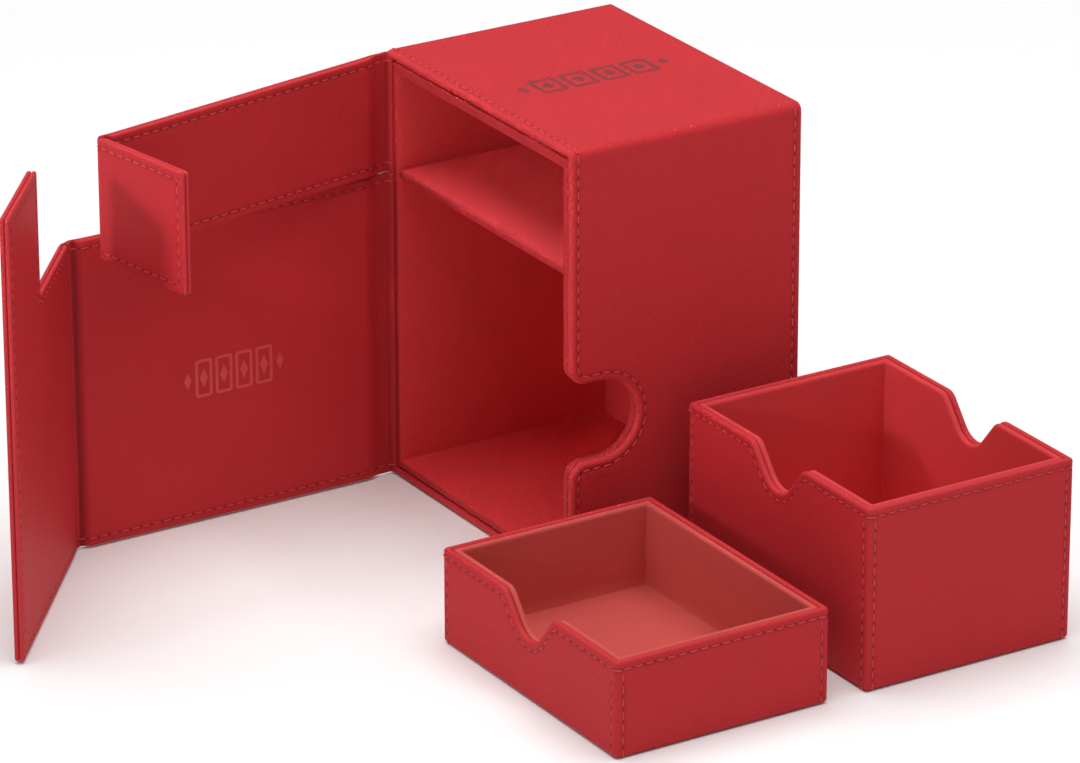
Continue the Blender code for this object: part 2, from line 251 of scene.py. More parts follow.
# %% Sheet materials
def make_sheet(name, colour, rub_colour, roughness, pattern, pattern_inputs, depth, rub=0.5,
               drift=0.10, sheen=0.0, seam_shade=0.30, specular=0.08):
    material = bpy.data.materials.new(name)
    material.use_nodes = True
    tree = material.node_tree
    shader = tree.nodes["Principled BSDF"]
    layout = add_node(tree, "ShaderNodeUVMap", uv_map="layout")
    rim = add_node(tree, "ShaderNodeAttribute", attribute_name="rim")
    # the seam mask carries painted shade for the stitch channels and creases
    seam = add_node(tree, "ShaderNodeAttribute", attribute_name="seam")
    relief = place_group(tree, pattern, {"Vector": layout.outputs[0], **pattern_inputs})
    wear = place_group(tree, tone, {
        "Vector": layout.outputs[0], "Color": (*colour, 1), "Drift": drift, "Rim": rim.outputs["Fac"],
        "Rub": rub, "Rub Color": (*rub_colour, 1), "Seam": seam.outputs["Fac"],
        "Seam Shade": seam_shade})
    bump = add_node(tree, "ShaderNodeBump", {
        "Height": relief.outputs["Height"], "Distance": depth, "Strength": 1.0})
    gloss = maths(tree, "MULTIPLY", wear.outputs["Roughness"], roughness)
    tree.links.new(wear.outputs["Color"], shader.inputs["Base Color"])
    tree.links.new(gloss, shader.inputs["Roughness"])
    tree.links.new(bump.outputs[0], shader.inputs["Normal"])
    shader.inputs["Specular IOR Level"].default_value = specular
    if sheen:
        shader.inputs["Sheen Weight"].default_value = sheen
        shader.inputs["Sheen Roughness"].default_value = 0.5
        shader.inputs["Sheen Tint"].default_value = (*rub_colour, 1)
    material.diffuse_color = (*colour, 1)
    return material


RED = (0.520, 0.0285, 0.0350)
LID_RED = (0.530, 0.0300, 0.0360)
# painted light: the case lining is lighter than the outside sheet, standing in for the light that falls into
# the compartments
CASE_RED_WITH_PAINTED_LIGHT = (0.730, 0.0540, 0.0600)
RUBBED_RED = (0.600, 0.0520, 0.0600)
leatherette = make_sheet("leatherette_twill", RED, RUBBED_RED, 0.52, twill, {"Pitch": 0.00101}, 0.00012)
lid_sheet = make_sheet("lid_inner_leather", LID_RED, RUBBED_RED, 0.50, pebble,
                       {"Size": 0.0013}, 0.00008)
# painted light: the shelf is a still lighter copy of the case twill, as its top is lit most; both rims go to a
# darker red, 0.43, which takes the painted light off the edges
case_sheet = make_sheet("case_lining_twill_painted_light", CASE_RED_WITH_PAINTED_LIGHT, (0.430, 0.0270, 0.0330), 0.60, twill,
                        {"Pitch": 0.00100, "Bend": 0.3}, 0.00019, rub=1.0, sheen=0.04)
shelf_sheet = make_sheet("shelf_twill_painted_light", (0.850, 0.0780, 0.0880), (0.430, 0.0270, 0.0330), 0.60, twill,
                         {"Pitch": 0.00100, "Bend": 0.3}, 0.00013, rub=1.0, sheen=0.04)
tray_felt = make_sheet("card_tray_microfibre", (0.660, 0.0580, 0.0640), RUBBED_RED, 0.85, pebble,
                       {"Size": 0.0007}, 0.00003, sheen=0.08)
warm_felt = make_sheet("accessory_tray_microfibre", (0.545, 0.0860, 0.0760), (0.62, 0.095, 0.085), 0.85,
                       pebble, {"Size": 0.0007}, 0.00003, sheen=0.12)
sheets = (leatherette, lid_sheet, case_sheet, shelf_sheet, tray_felt, warm_felt)
print("sheets:", [m.name for m in sheets])

# %% [markdown]
# Thread is a twisted polyester cord, a shade lighter than the sheet. Its twist is a fine stripe. A needle hole
# is only a dark disc between two stitches: painted shade for the hole.

# %% Thread, needle hole shade, stamp and magnets
def make_plain(name, colour, roughness, stripe, depth, metallic=0.0, drift=0.15):
    material = bpy.data.materials.new(name)
    material.use_nodes = True
    tree = material.node_tree
    shader = tree.nodes["Principled BSDF"]
    place = add_node(tree, "ShaderNodeTexCoord")
    twist = place_group(tree, twill, {"Vector": place.outputs["Object"], "Pitch": stripe})
    wear = place_group(tree, tone, {
        "Vector": place.outputs["Object"], "Color": (*colour, 1), "Drift": drift, "Rim": 0.0,
        "Drift Size": 0.006})
    bump = add_node(tree, "ShaderNodeBump", {
        "Height": twist.outputs[0], "Distance": depth, "Strength": 1.0})
    gloss = maths(tree, "MULTIPLY", wear.outputs["Roughness"], roughness)
    tree.links.new(wear.outputs["Color"], shader.inputs["Base Color"])
    tree.links.new(gloss, shader.inputs["Roughness"])
    tree.links.new(bump.outputs[0], shader.inputs["Normal"])
    shader.inputs["Metallic"].default_value = metallic
    material.diffuse_color = (*colour, 1)
    return material


thread = make_plain("thread", (0.600, 0.050, 0.058), 0.55, 0.0003, 0.00002)
# painted shade: a dark disc stands for the shadow in each needle hole
hole_shade = make_plain("needle_hole_painted_shade", (0.150, 0.007, 0.009), 0.9, 0.0004, 0.00001)
stamp_foil = make_plain("stamped_mark", (0.200, 0.0120, 0.0160), 0.42, 0.0006, 0.00001)
clear_shine = make_plain("clear_shine", (0.640, 0.0620, 0.0680), 0.34, 0.0009, 0.00001)
steel = make_plain("magnet_plating", (0.55, 0.55, 0.56), 0.32, 0.0005, 0.000005, metallic=1.0)
print("small materials:", thread.name, hole_shade.name, stamp_foil.name, steel.name)

# %% [markdown]
# Every edge on the box is the same drawing problem: an outline with rounded corners, moved inwards
# by some distance. This function does it for open and closed outlines. Corners that stick out get
# tighter as the line moves in, and hollow ones get wider, so all the lines stay parallel and keep
# the same number of points, which lets them be joined into a mesh.

# %% Parallel outlines
STEP = 0.65 * MM
SMALLEST_RADIUS = 0.05 * MM


def outline_frame(corners, closed):
    points = [Vector(c[:2]) for c in corners]
    count = len(points)
    runs = count if closed else count - 1
    ways = [(points[(i + 1) % count] - points[i]).normalized() for i in range(runs)]
    return points, ways


def outline_counts(corners, closed, step):
    """How many points each rounded corner and each straight run gets."""
    points, ways = outline_frame(corners, closed)
    count = len(points)
    turns, reaches = [0.0] * count, [0.0] * count
    for i in range(count):
        if not closed and i in (0, count - 1):
            continue
        turns[i] = acos(max(-1.0, min(1.0, ways[i - 1].dot(ways[i]))))
        reaches[i] = corners[i][2] * tan(turns[i] / 2)
    arcs = [max(3, ceil(turn * max(c[2], MM) / step)) if turn > 0.01 else 0
            for turn, c in zip(turns, corners)]
    runs = []
    for i in range(len(ways)):
        length = (points[(i + 1) % count] - points[i]).length - reaches[i] - reaches[(i + 1) % count]
        runs.append(max(1, round(length / step)))
    return arcs, runs


def parallel_outline(corners, inset, closed, counts):
    """Points of the outline moved inwards, which is to the left of its direction."""
    points, ways = outline_frame(corners, closed)
    sides = [Vector((-way.y, way.x)) for way in ways]
    count = len(points)
    arcs, runs = counts
    found, bounds_of_arc = [], []
    for i in range(count):
        if not closed and i in (0, count - 1):
            side = sides[0] if i == 0 else sides[-1]
            bounds_of_arc.append([points[i] + side * inset])
            continue
        before, after = ways[i - 1], ways[i]
        dot = before.dot(after)
        corner = points[i] + (sides[i - 1] + sides[i]) * inset / (1 + dot)
        turn = acos(max(-1.0, min(1.0, dot)))
        if not arcs[i]:
            bounds_of_arc.append([corner])
            continue
        left = before.cross(after) > 0
        radius = max(corners[i][2] - inset if left else corners[i][2] + inset, SMALLEST_RADIUS)
        start = corner - before * radius * tan(turn / 2)
        centre = start + sides[i - 1] * (radius if left else -radius)
        arm = start - centre
        arc = []
        for k in range(arcs[i] + 1):
            angle = turn * k / arcs[i] * (1 if left else -1)
            arc.append(centre + Vector((arm.x * cos(angle) - arm.y * sin(angle),
                                        arm.x * sin(angle) + arm.y * cos(angle))))
        bounds_of_arc.append(arc)
    for i in range(count):
        found += bounds_of_arc[i]
        if i < len(ways):
            end = bounds_of_arc[(i + 1) % count][0]
            start = bounds_of_arc[i][-1]
            found += [start.lerp(end, k / runs[i]) for k in range(1, runs[i])]
    return [(p.x, p.y) for p in found]


print("step along an outline, mm:", STEP / MM)

# %% [markdown]
# A ring is one such outline lifted into space. A piece is a stack of rings, skinned with quads and capped at
# both ends. The same function stores the rim mask for the materials, and lays the flat layout down by the way
# each face looks.

# %% Skin a stack of rings
def lay_out(item, turn=0.0, mirror=False):
    """Writes the flat layout: each face is projected along the axis that it faces."""
    mesh = item.data
    layer = mesh.uv_layers.new(name="layout")
    normals = np.empty(len(mesh.polygons) * 3)
    mesh.polygons.foreach_get("normal", normals)
    sizes = np.empty(len(mesh.polygons), int)
    mesh.polygons.foreach_get("loop_total", sizes)
    corner_vertex = np.empty(len(mesh.loops), int)
    mesh.loops.foreach_get("vertex_index", corner_vertex)
    places = np.empty(len(mesh.vertices) * 3)
    mesh.vertices.foreach_get("co", places)
    places = places.reshape(-1, 3)[corner_vertex]
    normals = np.repeat(normals.reshape(-1, 3), sizes, axis=0)
    facing = np.abs(normals).argmax(1)
    x, y, z = places.T
    u = np.where(facing == 0, y, np.where(facing == 1, -x, x))
    v = np.where(facing == 2, y, z)
    if mirror:
        u = np.where(facing == 2, u, -u)
    c, s = np.where(facing == 0, cos(turn), 1.0), np.where(facing == 0, sin(turn), 0.0)
    flat = np.stack([u * c - v * s, u * s + v * c], 1)
    layer.data.foreach_set("uv", flat.ravel())


def store(item, name, values):
    layer = item.data.attributes.new(name, "FLOAT", "POINT")
    layer.data.foreach_set("value", np.asarray(values, np.float32))


def places_of(item):
    places = np.empty(len(item.data.vertices) * 3)
    item.data.vertices.foreach_get("co", places)
    return places.reshape(-1, 3)


def set_places(item, places):
    item.data.vertices.foreach_set("co", np.asarray(places, np.float32).ravel())
    item.data.update()


def new_object(name, mesh, material):
    item = bpy.data.objects.new(name, mesh)
    bpy.context.scene.collection.objects.link(item)
    mesh.materials.append(material)
    return item


def finish_mesh(item, sharp=40):
    builder = bmesh.new()
    builder.from_mesh(item.data)
    bmesh.ops.recalc_face_normals(builder, faces=builder.faces)
    builder.to_mesh(item.data)
    builder.free()
    item.data.shade_smooth()
    item.data.set_sharp_from_angle(angle=radians(sharp))


def skin_rings(name, rings, rims, material, turn=0.0, mirror=False):
    count = len(rings[0])
    vertices = [point for ring in rings for point in ring]
    faces = []
    for k in range(len(rings) - 1):
        low, high = k * count, (k + 1) * count
        faces += [(low + i, low + (i + 1) % count, high + (i + 1) % count, high + i) for i in range(count)]
    last = (len(rings) - 1) * count
    faces.append(tuple(range(count))[::-1])
    faces.append(tuple(range(last, last + count)))
    mesh = bpy.data.meshes.new(name)
    mesh.from_pydata(vertices, [], faces)
    item = new_object(name, mesh, material)
    store(item, "rim", np.repeat(rims, count))
    finish_mesh(item)
    lay_out(item, turn, mirror)
    return item


print("ring skinner ready")

# %% [markdown]
# A wrapped box open on one side has four walls and one opening. Its rings run round the opening: they
# follow the front edge of each wall, notch and all, then turn the corner to the next wall. A ring is
# given by its distance from the edge and its depth through the wall, so the outside face, the rolled
# edge and the inside face are all the same function.

# %% Open box rings
class OpenBox:
    """Four walls round an opening; cells (p, q) are the plane of the opening and depth goes inwards."""

    def __init__(self, low, high, depth, radius, to_space, notches=None, step=STEP):
        self.low, self.high = low, high
        self.depth, self.to_space, self.step = depth, to_space, step
        self.radii = radius if isinstance(radius, tuple) else (radius,) * 4
        (p0, q0), (p1, q1) = low, high
        self.starts = [(p0, q0), (p1, q0), (p1, q1), (p0, q1)]
        self.ways = [(1, 0), (0, 1), (-1, 0), (0, -1)]
        self.lengths = [p1 - p0, q1 - q0, p1 - p0, q1 - q0]
        self.notches = notches or {}
        self.counts = [outline_counts(self.wall_path(k, 0.0), False, step) for k in range(4)]
        self.corner_count = max(3, ceil(max(self.radii) * pi / 2 / step) + 1)

    def wall_path(self, wall, through):
        start = through + self.corner_radius(wall, through)
        end = self.lengths[wall] - through - self.corner_radius(wall + 1, through)
        return [(start, 0, 0), *self.notches.get(wall, []), (end, 0, 0)]

    def corner_radius(self, corner, through):
        return max(self.radii[corner % 4] - through, 0.3 * MM)

    def stations(self, inset, through, level=None):
        """(wall, across, depth, point in the plane, outward direction) all the way round."""
        found = []
        for wall in range(4):
            path = parallel_outline(self.wall_path(wall, through), inset, False, self.counts[wall])
            if level is not None:
                first, last = path[0][0], path[-1][0]
                path = [(first + (last - first) * i / (len(path) - 1), level) for i in range(len(path))]
            start, way = self.starts[wall], self.ways[wall]
            inward = (-way[1], way[0])
            for across, deep in path:
                point = (start[0] + way[0] * across + inward[0] * through,
                         start[1] + way[1] * across + inward[1] * through)
                found.append((wall, across, deep, point, (-inward[0], -inward[1])))
            radius = self.corner_radius(wall + 1, through)
            end = self.lengths[wall] - through - radius
            centre = (start[0] + way[0] * end + inward[0] * (through + radius),
                      start[1] + way[1] * end + inward[1] * (through + radius))
            turn = atan2(-inward[1], -inward[0])
            for k in range(1, self.corner_count):
                angle = turn + pi / 2 * k / self.corner_count
                arm = (cos(angle), sin(angle))
                point = (centre[0] + radius * arm[0], centre[1] + radius * arm[1])
                found.append((wall + 0.5, 0, path[-1][1], point, arm))
        return found

    def ring(self, inset, through, level=None):
        return [self.to_space(s[3], s[2]) for s in self.stations(inset, through, level)]

    def rolled(self, front, outside, inside, bead=None):
        """Rings of a rolled edge between two faces of the wall, with the edge at inset front."""
        radius = bead or (inside - outside) / 2
        steps = [(pi * k / 8, outside + radius) for k in range(5)]
        steps += [(pi * k / 8, inside - radius) for k in range(4 if bead else 5, 9)]
        return [self.ring(front + radius * (1 - sin(angle)), middle - radius * cos(angle))
                for angle, middle in steps]


def between(first, last, count):
    """Evenly spaced rings between two rings, without the two."""
    a, b = np.array(first), np.array(last)
    return [(a + (b - a) * k / count).tolist() for k in range(1, count)]


print("open box rings ready")

# %% [markdown]
# A row of stitches presses the sheet: a shallow channel runs along it, and each needle hole pulls the sheet
# down a little more, so the surface puckers between stitches. A row is a line of points with the direction
# that the sheet faces. The press moves every vertex close to a row, and stores a mask that darkens the channel
# with painted shade.

# %% Rows and the press
STITCH_PITCH = 3.9 * MM
ROW_INSET = 2.7 * MM
CHANNEL_DEPTH = 0.13 * MM
PUCKER_DEPTH = 0.11 * MM


class Row:
    def __init__(self, points, facing, closed=False):
        points = np.array(points, float)
        facing = np.array(facing, float)
        if facing.ndim == 1:
            facing = np.tile(facing, (len(points), 1))
        if closed:
            points, facing = np.vstack([points, points[:1]]), np.vstack([facing, facing[:1]])
        steps = np.linalg.norm(np.diff(points, axis=0), axis=1)
        keep = np.concatenate([[True], steps > 1e-7])
        points, facing = points[keep], facing[keep]
        run = np.concatenate([[0], np.cumsum(np.linalg.norm(np.diff(points, axis=0), axis=1))])
        self.stitches = max(1, round(run[-1] / STITCH_PITCH))
        self.pitch = run[-1] / self.stitches
        if closed:
            run_end = run[-1] - self.pitch
            self.stitches -= 1
        else:
            run_end = run[-1]
        self.run = np.linspace(0, run_end, max(2, round(run_end / (0.2 * MM))))
        self.points = np.stack([np.interp(self.run, run, points[:, i]) for i in range(3)], 1)
        self.facing = np.stack([np.interp(self.run, run, facing[:, i]) for i in range(3)], 1)
        self.facing /= np.linalg.norm(self.facing, axis=1)[:, None]


def press(item, rows):
    """Presses the channels and puckers of these rows into a piece, and stores painted shade along them."""
    total = sum(len(row.run) for row in rows)
    tree = KDTree(total)
    labels = []
    for r, row in enumerate(rows):
        for k, point in enumerate(row.points):
            tree.insert(point, len(labels))
            labels.append((r, k))
    tree.balance()
    places = places_of(item)
    seam = np.zeros(len(places))
    for i, place in enumerate(places):
        _, index, distance = tree.find(place)
        if distance > 2.2 * MM:
            continue
        r, k = labels[index]
        row = rows[r]
        off = place - row.points[k]
        if abs(off @ row.facing[k]) > 0.6 * MM:
            continue
        phase = 0.5 - 0.5 * cos(2 * pi * row.run[k] / row.pitch)
        near = np.exp(-(distance / (0.6 * MM)) ** 2)
        tight = np.exp(-(distance / (0.7 * MM)) ** 2)
        places[i] -= row.facing[k] * (CHANNEL_DEPTH * near + PUCKER_DEPTH * tight * phase)
        # painted shade in the channel, strongest at the needle holes
        seam[i] = near * (0.55 + 0.45 * phase)
    set_places(item, places)
    store(item, "seam", seam)


print("stitch pitch, mm:", STITCH_PITCH / MM)

# %% [markdown]
# The stitches themselves repeat along a path, so Geometry Nodes make them. The tree takes the rows as edges,
# resamples them at half the pitch, bends one short thread over each even point and puts a dark disc on each
# odd one, painted shade for the needle hole. An attribute carries the direction that the sheet faces.

# %% Stitch tree
sewing, entry, leave = new_group(
    "sewing", "GeometryNodeTree",
    [("Rows", "Geometry", None), ("Pitch", "Float", STITCH_PITCH), ("Stitch Length", "Float", 0.0029),
     ("Thread Radius", "Float", 0.00024), ("Rise", "Float", 0.00042), ("Sink", "Float", 0.00034),
     ("Hole Radius", "Float", 0.00022), ("Thread", "Material", None), ("Hole", "Material", None)],
    [("Sewn", "Geometry")])
sewing.is_modifier = True
line = add_node(sewing, "GeometryNodeMeshToCurve", {0: entry.outputs["Rows"]})
spline = add_node(sewing, "GeometryNodeSplineLength")
segments = maths(sewing, "DIVIDE", spline.outputs["Length"], entry.outputs["Pitch"])
segments = maths(sewing, "ROUND", segments)
count = maths(sewing, "MULTIPLY_ADD", segments, 2.0, 1.0)
dots = add_node(sewing, "GeometryNodeResampleCurve", {"Curve": line.outputs[0], "Count": count})
dots.mode = "COUNT"
part = add_node(sewing, "GeometryNodeSplineParameter")
odd = maths(sewing, "MODULO", part.outputs["Index"], 2.0)
even = maths(sewing, "SUBTRACT", 1.0, odd)
tangent = add_node(sewing, "GeometryNodeInputTangent")
facing = add_node(sewing, "GeometryNodeInputNamedAttribute", {"Name": "facing"}, data_type="FLOAT_VECTOR")
ahead = add_node(sewing, "FunctionNodeAlignRotationToVector", {"Vector": tangent.outputs[0]}, axis="X")
upright = add_node(sewing, "FunctionNodeAlignRotationToVector", {
    "Rotation": ahead.outputs[0], "Vector": facing.outputs[0]}, axis="Z", pivot_axis="X")
half = maths(sewing, "MULTIPLY", entry.outputs["Stitch Length"], 0.5)
sunk = maths(sewing, "MULTIPLY", entry.outputs["Sink"], -1.0)
tail = add_node(sewing, "ShaderNodeCombineXYZ", {0: maths(sewing, "MULTIPLY", half, -1.0), 2: sunk})
tip = add_node(sewing, "ShaderNodeCombineXYZ", {0: half, 2: sunk})
top = add_node(sewing, "ShaderNodeCombineXYZ", {2: entry.outputs["Rise"]})
bow = add_node(sewing, "GeometryNodeCurveQuadraticBezier", {
    "Resolution": 6, "Start": tail.outputs[0], "Middle": top.outputs[0], "End": tip.outputs[0]})
section = add_node(sewing, "GeometryNodeCurvePrimitiveCircle", {
    "Resolution": 6, "Radius": entry.outputs["Thread Radius"]})
strand = add_node(sewing, "GeometryNodeCurveToMesh", {
    "Curve": bow.outputs[0], "Profile Curve": section.outputs[0], "Fill Caps": True})
# painted shade: a flat dark disc for each needle hole
hole_shade_disc = add_node(sewing, "GeometryNodeMeshCircle", {
    "Vertices": 8, "Radius": entry.outputs["Hole Radius"]}, fill_type="NGON")
branches = []
for shape, chosen, finish in ((strand, even, "Thread"), (hole_shade_disc, odd, "Hole")):
    copies = add_node(sewing, "GeometryNodeInstanceOnPoints", {
        "Points": dots.outputs[0], "Selection": chosen, "Instance": shape.outputs[0],
        "Rotation": upright.outputs[0]})
    real = add_node(sewing, "GeometryNodeRealizeInstances", {0: copies.outputs[0]})
    painted = add_node(sewing, "GeometryNodeSetMaterial", {
        "Geometry": real.outputs[0], "Material": entry.outputs[finish]})
    branches.append(painted.outputs[0])
both = add_node(sewing, "GeometryNodeJoinGeometry")
for branch in branches:
    sewing.links.new(branch, both.inputs[0])
sewing.links.new(both.outputs[0], leave.inputs[0])
print("sewing tree nodes:", len(sewing.nodes))

# %% [markdown]
# To sew, the rows become a mesh of edges with the facing direction stored on its points. The modifier
# gets its inputs by socket identifier, and the evaluated result is kept as a plain mesh.

# %% Sew rows
def socket_id(tree, label):
    return next(s.identifier for s in tree.interface.items_tree if s.name == label and s.in_out == "INPUT")


def sew(name, rows):
    points, edges, directions = [], [], []
    for row in rows:
        first = len(points)
        lifted = row.points - row.facing * CHANNEL_DEPTH
        points += lifted.tolist()
        directions += row.facing.tolist()
        edges += [(first + i, first + i + 1) for i in range(len(lifted) - 1)]
    mesh = bpy.data.meshes.new(name + "_rows")
    mesh.from_pydata(points, edges, [])
    layer = mesh.attributes.new("facing", "FLOAT_VECTOR", "POINT")
    layer.data.foreach_set("vector", np.array(directions, np.float32).ravel())
    rows_object = bpy.data.objects.new(name + "_rows", mesh)
    bpy.context.scene.collection.objects.link(rows_object)
    modifier = rows_object.modifiers.new("sewing", "NODES")
    modifier.node_group = sewing
    modifier[socket_id(sewing, "Thread")] = thread
    modifier[socket_id(sewing, "Hole")] = hole_shade
    modifier[socket_id(sewing, "Pitch")] = STITCH_PITCH
    graph = bpy.context.evaluated_depsgraph_get()
    sewn = bpy.data.meshes.new_from_object(rows_object.evaluated_get(graph))
    bpy.data.objects.remove(rows_object)
    sewn.name = name
    item = bpy.data.objects.new(name, sewn)
    bpy.context.scene.collection.objects.link(item)
    sewn.shade_smooth()
    print(name, "has", sum(row.stitches for row in rows), "stitches in", len(rows), "rows")
    return item


print("sewing ready")

# %% [markdown]
# Main sizes come from the CAD nodes: the outside of the body, the thickness of its wall, and the
# lined case inside it. The thumb notch is a slot with a round end and rounded shoulders.

# %% Sizes of the body
left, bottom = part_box("shell_cover_left")[0].x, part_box("shell_cover_bottom")[0].z
right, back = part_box("shell_cover_right")[1].x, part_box("shell_cover_back")[1].y
top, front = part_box("shell_cover_top")[1].z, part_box("shell_cover_right")[0].y
SHELL_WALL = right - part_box("shell_board_right")[0].x
CASE_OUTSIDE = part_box("liner_left")[0].x - left
CASE_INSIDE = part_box("liner_left")[1].x - left
CASE_SETBACK = 0.4 * MM
CASE_GAP = 0.25 * MM
BODY_DEPTH = back - front
NOTCH_HEIGHT = 56.1 * MM
NOTCH_REACH = 11.7 * MM
NOTCH_RADIUS = 13.3 * MM
NOTCH_SHOULDER = 5.8 * MM
BODY_CORNERS = (1.2 * MM, 2.0 * MM, 2.8 * MM, 1.2 * MM)
BACK_EDGE = 1.1 * MM

notch_end = NOTCH_REACH + NOTCH_RADIUS
thumb_notch = [
    (NOTCH_HEIGHT - NOTCH_RADIUS, 0, NOTCH_SHOULDER),
    (NOTCH_HEIGHT - NOTCH_RADIUS, notch_end, NOTCH_RADIUS),
    (NOTCH_HEIGHT + NOTCH_RADIUS, notch_end, NOTCH_RADIUS),
    (NOTCH_HEIGHT + NOTCH_RADIUS, 0, NOTCH_SHOULDER),
]
body = OpenBox((left, bottom), (right, top), BODY_DEPTH, BODY_CORNERS,
               lambda point, deep: (point[0], front + deep, point[1]), {1: thumb_notch})
print("body wall, mm:", round(SHELL_WALL / MM, 2), " case wall from", round(CASE_OUTSIDE / MM, 2),
      "to", round(CASE_INSIDE / MM, 2))

# %% [markdown]
# The body is one sheet of leatherette wrapped round boards. Its long edges are soft, its front edge
# is rolled over the board, and a row of stitches follows that edge round the notch. This model has a
# second row near the back of the right wall, which the real box does not show. The rings start
# at the middle of the back, come forward over the walls, roll over the front edge and go back inside.

# %% Body sheet
ROW_INSETS = [6.0, 5.0, 4.2, 3.7, 3.3, 3.0, 2.7, 2.4, 2.1, 1.8, 1.6]


def rolled_rims(count):
    return [sin(pi * k / (count - 1)) for k in range(count)]


rings, rims = [], []
for k in range(7):
    angle = pi / 2 * k / 6
    rings.append(body.ring(0, BACK_EDGE * (1 - sin(angle)), BODY_DEPTH - BACK_EDGE * (1 - cos(angle))))
rings += [body.ring(0, 0, BODY_DEPTH - inset * MM) for inset in (2.2, 2.5, 2.8, 3.2, 3.6, 4.2, 5.0)]
rims = [0.35 * sin(pi * k / 7) for k in range(7)] + [0.0] * 7
front_rings = [body.ring(inset * MM, 0) for inset in ROW_INSETS]
rings += between(rings[-1], front_rings[0], 14) + front_rings
rims += [0.0] * (13 + len(front_rings))
roll = body.rolled(0, 0, SHELL_WALL)
rings += roll + [body.ring(3 * MM, SHELL_WALL), body.ring(0, SHELL_WALL, BODY_DEPTH - SHELL_WALL)]
rims += rolled_rims(len(roll)) + [0.0, 0.0]
body_sheet = skin_rings("body_sheet", rings, rims, leatherette)

front_line = [s for s in body.stations(ROW_INSET, 0) if 0 <= s[0] <= 2]
front_row = Row([body.to_space(s[3], s[2]) for s in front_line],
                [(s[4][0], 0, s[4][1]) for s in front_line])
back_row = Row([(right, back - ROW_INSET, bottom + 3 * MM), (right, back - ROW_INSET, top - 3 * MM)],
               (1, 0, 0))
press(body_sheet, [front_row, back_row])
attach(body_sheet, "box")
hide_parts(*["shell_%s_%s" % (layer, side) for layer in ("cover", "board")
                          for side in ("left", "right", "bottom", "top", "back")])
body_stitches = sew("body_stitches", [front_row, back_row])
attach(body_stitches, "box")
print("body sheet:", len(body_sheet.data.polygons), "faces")

# %% [markdown]
# The case inside is a second box pushed into the first. Its edges are squarer than those of the body,
# so a thin dark line shows between the two. Its ceiling is the thickest wall: two boards meet there.

# %% Case lining
rings = [body.ring(0, CASE_OUTSIDE, BODY_DEPTH - CASE_OUTSIDE), body.ring(3.2 * MM, CASE_OUTSIDE)]
roll = body.rolled(CASE_SETBACK, CASE_OUTSIDE + CASE_GAP, CASE_INSIDE, bead=0.45 * MM)
inner = [body.ring(inset * MM, CASE_INSIDE) for inset in (2.6, 3.4, 5.0)]
CASE_FILLET = 0.6 * MM
last = [body.ring(0, CASE_INSIDE, BODY_DEPTH - CASE_INSIDE - CASE_FILLET),
        body.ring(0, CASE_INSIDE + 0.3 * CASE_FILLET, BODY_DEPTH - CASE_INSIDE - 0.3 * CASE_FILLET),
        body.ring(0, CASE_INSIDE + CASE_FILLET, BODY_DEPTH - CASE_INSIDE)]
rings += roll + inner + between(inner[-1], last[0], 8) + last
rims = [0.0, 0.0] + rolled_rims(len(roll)) + [0.0] * (3 + 7 + 3)
case_lining = skin_rings("case_lining", rings, rims, case_sheet, mirror=True)
CEILING_EXTRA = 1.0 * MM
places = places_of(case_lining)
below_top = top - places[:, 2]
swell = np.clip((below_top - CASE_OUTSIDE) / (CASE_INSIDE - CASE_OUTSIDE), 0, 1)
fade = np.clip(1 - (below_top - CASE_INSIDE) / (12 * MM), 0, 1)
places[:, 2] -= CEILING_EXTRA * swell * fade
set_places(case_lining, places)
store(case_lining, "seam", np.zeros(len(case_lining.data.vertices)))
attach(case_lining, "box")
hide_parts("liner_left", "liner_right", "liner_floor", "liner_ceiling", "liner_back")
print("case lining:", len(case_lining.data.polygons), "faces")

# %% [markdown]
# Flat covered boards, such as the shelf, the flaps and the tray bases, are slabs with rounded edges.
# Their rings run round the outline: in from one face, over the edge, and back on to the other face.

# %% Slab rings
def slab(name, corners, low, high, low_flats, high_flats, to_space, material, step=STEP, bead=None,
         **layout):
    counts = outline_counts(corners, True, step)
    bead = (high - low) / 2 if bead is None else bead
    rings, rims = [], []

    def add(inset, height, rim):
        rings.append([to_space(a, b, height) for a, b in parallel_outline(corners, inset, True, counts)])
        rims.append(rim)

    for inset in low_flats:
        add(inset * MM, low, 0.0)
    for k in range(5):
        angle = pi / 2 * k / 4
        add(bead * (1 - sin(angle)), low + bead * (1 - cos(angle)), sin(angle))
    for k in range(4 if bead * 2 > high - low - 1e-6 else 5):
        angle = pi / 2 * (k + (1 if bead * 2 > high - low - 1e-6 else 0)) / 4
        add(bead * (1 - cos(angle)), high - bead * (1 - sin(angle)), cos(angle))
    for inset in reversed(high_flats):
        add(inset * MM, high, 0.0)
    return skin_rings(name, rings, rims, material, **layout)


shelf_low, shelf_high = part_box("shelf")
SHELF_EDGE = 0.5 * MM
SHELF_LET_IN = 0.2 * MM
shelf_left, shelf_right = shelf_low.x - SHELF_LET_IN, shelf_high.x + SHELF_LET_IN
shelf_corners = [(shelf_left, shelf_low.y, SHELF_EDGE), (shelf_right, shelf_low.y, SHELF_EDGE),
                 (shelf_right, shelf_high.y, SHELF_EDGE), (shelf_left, shelf_high.y, SHELF_EDGE)]
shelf = slab("shelf_panel", shelf_corners, shelf_low.z, shelf_high.z, [4.0], [4.0],
             lambda a, b, height: (a, b, height), shelf_sheet, bead=1.3 * MM)
store(shelf, "seam", np.zeros(len(shelf.data.vertices)))
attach(shelf, "box")
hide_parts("shelf")
print("shelf is", round((shelf_high.z - shelf_low.z) / MM, 1), "mm thick")

